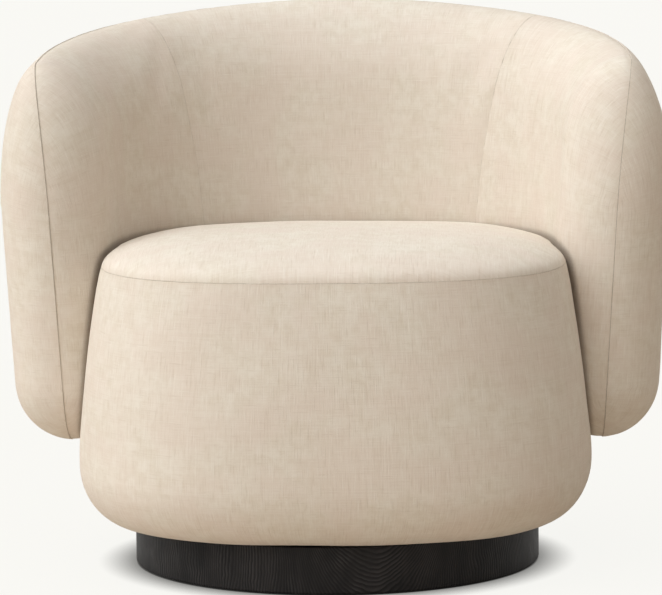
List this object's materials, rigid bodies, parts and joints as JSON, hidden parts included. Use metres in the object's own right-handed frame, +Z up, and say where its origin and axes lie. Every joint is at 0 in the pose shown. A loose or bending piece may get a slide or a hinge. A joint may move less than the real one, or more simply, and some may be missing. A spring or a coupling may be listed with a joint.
{
  "type": "swivel armchair",
  "caption": "Low round swivel armchair: a thick wrap-round back and arm shell on a bell-shaped tight seat, turning on a ball race over a round black-stained wooden plinth.",
  "frame": {"origin": "on the floor under the swivel axis, in the plane of the glide ring's underside", "axes": "+Z up along the swivel axis, the sitter looks along -Y, +X to the right of the picture"},
  "size_m": [0.8696, 0.7487, 0.721],
  "materials": {
    "linen_fabric": "woven linen-look weave, oatmeal, slightly heathered",
    "stained_oak": "black-stained open-grain oak, satin",
    "plywood": "raw birch plywood",
    "fibreboard": "bent thin hardboard, raw",
    "foam": "open-cell upholstery foam",
    "zinc_steel": "bright zinc plate",
    "bearing_steel": "polished",
    "cage_plastic": "matte moulded nylon",
    "dust_cloth": "black non-woven cloth",
    "elastic_webbing": "woven elastic webbing",
    "glide_felt": "dense black felt"
  },
  "bodies": {
    "plinth": {"glide_ring": "glide_felt", "plinth_ring": "stained_oak", "plinth_board": "plywood", "plinth_glue_blocks": "plywood", "swivel_lower_plate": "zinc_steel", "swivel_pin": "zinc_steel", "plinth_screws": "zinc_steel"},
    "ball_ring": {"bearing_balls": "bearing_steel", "ball_cage": "cage_plastic"},
    "seat": {"swivel_upper_plate": "zinc_steel", "seat_bolts": "zinc_steel", "tee_nuts": "zinc_steel", "seat_board": "plywood", "dust_cover": "dust_cloth", "seat_posts": "plywood", "seat_ring": "plywood", "webbing_across": "elastic_webbing", "webbing_front_to_back": "elastic_webbing", "drum_lining_board": "fibreboard", "drum_foam": "foam", "drum_cover": "linen_fabric", "seat_foam": "foam", "seat_top_cover": "linen_fabric", "shell_bottom_rail": "plywood", "shell_ribs": "plywood", "shell_top_rail": "plywood", "inner_lining_board": "fibreboard", "outer_lining_board": "fibreboard", "shell_spacers": "plywood", "shell_bolts": "zinc_steel", "cross_dowels": "zinc_steel", "back_foam": "foam", "arm_foam_left": "foam", "arm_foam_right": "foam", "outer_padding": "foam", "inside_back_cover": "linen_fabric", "inside_arm_cover_left": "linen_fabric", "inside_arm_cover_right": "linen_fabric", "outside_back_cover": "linen_fabric", "outside_arm_cover_left": "linen_fabric", "outside_arm_cover_right": "linen_fabric"}
  },
  "joints": [
    {"name": "swivel", "type": "hinge", "parent": "plinth", "child": "seat", "pos_m": [0, 0, 0.06], "axis": [0, 0, 1], "continuous": true},
    {"name": "ball_ring_turn", "type": "hinge", "parent": "plinth", "child": "ball_ring", "pos_m": [0, 0, 0.06], "axis": [0, 0, 1], "continuous": true}
  ],
  "couplings": [
    {"joint": "ball_ring_turn", "follows": "swivel", "ratio": 0.5}
  ]
}
